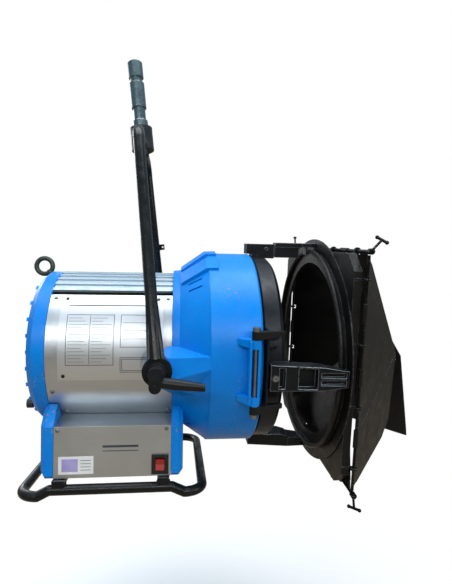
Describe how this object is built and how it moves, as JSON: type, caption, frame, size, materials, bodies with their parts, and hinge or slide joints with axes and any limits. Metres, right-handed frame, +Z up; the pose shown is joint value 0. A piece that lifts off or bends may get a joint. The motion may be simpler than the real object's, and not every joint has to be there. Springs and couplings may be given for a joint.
{
  "type": "fresnel spotlight",
  "caption": "Fresnel spotlight with a drum-shaped head in a tubular yoke on a standard spigot, a hinged lens door and a rotating barn door with folding leaves.",
  "frame": {"origin": "centre of the spigot's shoulder, where it meets the yoke's socket", "axes": "+X is the beam at rest, +Z is up, +Y is the side away from the tilt lever"},
  "size_m": [0.7579, 0.4748, 0.7854],
  "materials": {
    "tube_black": "satin",
    "socket_steel": "satin",
    "spigot_steel": "worn",
    "blue_paint": "satin",
    "brushed_aluminium": "brushed",
    "plate_aluminium": "satin",
    "dark_rivet": "satin",
    "zinc_steel": "zinc",
    "friction_pad": "matte",
    "liner_steel": "matte",
    "black_plastic": "matte",
    "lever_black": "satin",
    "red_plastic": "gloss",
    "carriage_aluminium": "cast",
    "ceramic": "matte",
    "lamp_glass": "clear",
    "mirror_reflector": "polished",
    "ring_black": "satin",
    "lens_glass": "stepped",
    "cast_claw": "worn",
    "rod_steel": "blackened"
  },
  "bodies": {
    "yoke": {"yoke_tube": "tube_black", "spigot_socket": "socket_steel", "spigot": "spigot_steel", "spigot_bolt": "socket_steel", "cable_clip": "tube_black"},
    "head": {"pivot_studs": "zinc_steel", "friction_washers": "friction_pad", "front_casting": "blue_paint", "rear_cover": "blue_paint", "drum_liner": "liner_steel", "top_vent": "brushed_aluminium", "side_panel_near": "brushed_aluminium", "side_panel_far": "brushed_aluminium", "label_plate": "plate_aluminium", "label_rivets": "dark_rivet", "panel_screws": "zinc_steel", "control_cover_near": "brushed_aluminium", "control_cover_far": "brushed_aluminium", "control_end_rear": "blue_paint", "control_end_front": "blue_paint", "control_floor": "liner_steel", "frame_clips": "tube_black", "foot_frame": "tube_black", "switch_bezel": "black_plastic", "lifting_eye": "zinc_steel", "guide_rods": "zinc_steel", "power_inlet": "black_plastic", "ignitor_box": "black_plastic", "hinge_pin": "zinc_steel"},
    "tilt_clamp": {"tilt_lever": "lever_black"},
    "power_switch": {"switch_rocker": "red_plastic"},
    "focus_drive": {"focus_knob": "black_plastic"},
    "focus_carriage": {"lamp_carriage": "carriage_aluminium", "lamp_holder": "ceramic", "lamp": "lamp_glass", "reflector": "mirror_reflector"},
    "lens_door": {"lens_ring": "ring_black", "fresnel_lens": "lens_glass", "lens_clips": "zinc_steel", "hinge_ears": "lever_black", "rim_claws": "cast_claw", "claw_screws": "zinc_steel", "latch_base": "cast_claw"},
    "top_latch": {"latch_arm": "cast_claw"},
    "door_catch_body": {"door_catch": "lever_black"},
    "barn_door": {"barndoor_ring": "ring_black", "barndoor_carrier": "ring_black", "hinge_rods": "rod_steel"},
    "near_leaf": {"leaf_near": "ring_black"},
    "far_leaf": {"leaf_far": "ring_black"},
    "top_leaf": {"leaf_top": "ring_black"},
    "bottom_leaf": {"leaf_bottom": "ring_black"},
    "handle_top_near": {"tension_handle_top_near": "rod_steel"},
    "handle_top_far": {"tension_handle_top_far": "rod_steel"},
    "handle_bottom_near": {"tension_handle_bottom_near": "rod_steel"},
    "handle_bottom_far": {"tension_handle_bottom_far": "rod_steel"}
  },
  "joints": [
    {"name": "head_tilt", "type": "hinge", "parent": "yoke", "child": "head", "pos_m": [0.04516, 0, -0.42963], "axis": [0, 1, 0], "range_deg": [-45, 90]},
    {"name": "tilt_lever_turn", "type": "hinge", "parent": "head", "child": "tilt_clamp", "pos_m": [0.04516, -0.225, -0.42963], "axis": [0, 1, 0], "range_deg": [-60, 60]},
    {"name": "switch_rock", "type": "hinge", "parent": "head", "child": "power_switch", "pos_m": [0.04766, -0.126, -0.59063], "axis": [1, 0, 0], "range_deg": [-8, 8]},
    {"name": "focus_turn", "type": "hinge", "parent": "head", "child": "focus_drive", "pos_m": [-0.02484, -0.06, -0.50763], "axis": [1, 0, 0], "range_deg": [-540, 540]},
    {"name": "focus_slide", "type": "slide", "parent": "head", "child": "focus_carriage", "axis": [1, 0, 0], "range_m": [-0.06, 0.06]},
    {"name": "lens_door_swing", "type": "hinge", "parent": "head", "child": "lens_door", "pos_m": [0.19016, -0.18807, -0.43604], "axis": [0, 0.1392, -0.9903], "range_deg": [0, 95]},
    {"name": "door_catch_turn", "type": "hinge", "parent": "head", "child": "door_catch_body", "pos_m": [0.17716, 0.15048, -0.30331], "axis": [0, -0.5878, 0.809], "range_deg": [0, 70]},
    {"name": "top_latch_lift", "type": "hinge", "parent": "lens_door", "child": "top_latch", "pos_m": [0.23716, -0.02589, -0.22844], "axis": [0, -0.9903, -0.1392], "range_deg": [0, 60]},
    {"name": "barn_door_spin", "type": "hinge", "parent": "lens_door", "child": "barn_door", "pos_m": [0.32816, 0.00056, -0.41659], "axis": [1, 0, 0], "continuous": true},
    {"name": "top_leaf_fold", "type": "hinge", "parent": "barn_door", "child": "top_leaf", "pos_m": [0.35316, -0.02616, -0.22646], "axis": [0, -0.9903, -0.1392], "range_deg": [-38, 112]},
    {"name": "near_leaf_fold", "type": "hinge", "parent": "barn_door", "child": "near_leaf", "pos_m": [0.35316, -0.18957, -0.44332], "axis": [0, 0.1392, -0.9903], "range_deg": [-22, 106]},
    {"name": "bottom_leaf_fold", "type": "hinge", "parent": "barn_door", "child": "bottom_leaf", "pos_m": [0.35316, 0.02728, -0.60673], "axis": [0, 0.9903, 0.1392], "range_deg": [-20, 130]},
    {"name": "far_leaf_fold", "type": "hinge", "parent": "barn_door", "child": "far_leaf", "pos_m": [0.35316, 0.19069, -0.38987], "axis": [0, -0.1392, 0.9903], "range_deg": [-17, 100]},
    {"name": "top_near_handle_turn", "type": "hinge", "parent": "barn_door", "child": "handle_top_near", "pos_m": [0.35316, -0.22521, -0.25444], "axis": [0, 0.9903, 0.1392], "range_deg": [-40, 40]},
    {"name": "top_far_handle_turn", "type": "hinge", "parent": "barn_door", "child": "handle_top_far", "pos_m": [0.35316, 0.17288, -0.19849], "axis": [0, 0.9903, 0.1392], "range_deg": [-40, 40]},
    {"name": "bottom_near_handle_turn", "type": "hinge", "parent": "barn_door", "child": "handle_bottom_near", "pos_m": [0.35316, -0.17177, -0.6347], "axis": [0, -0.9903, -0.1392], "range_deg": [-40, 40]},
    {"name": "bottom_far_handle_turn", "type": "hinge", "parent": "barn_door", "child": "handle_bottom_far", "pos_m": [0.35316, 0.22632, -0.57875], "axis": [0, -0.9903, -0.1392], "range_deg": [-40, 40]}
  ],
  "couplings": [
    {"joint": "focus_turn", "follows": "focus_slide", "rad_per_m": 157}
  ]
}
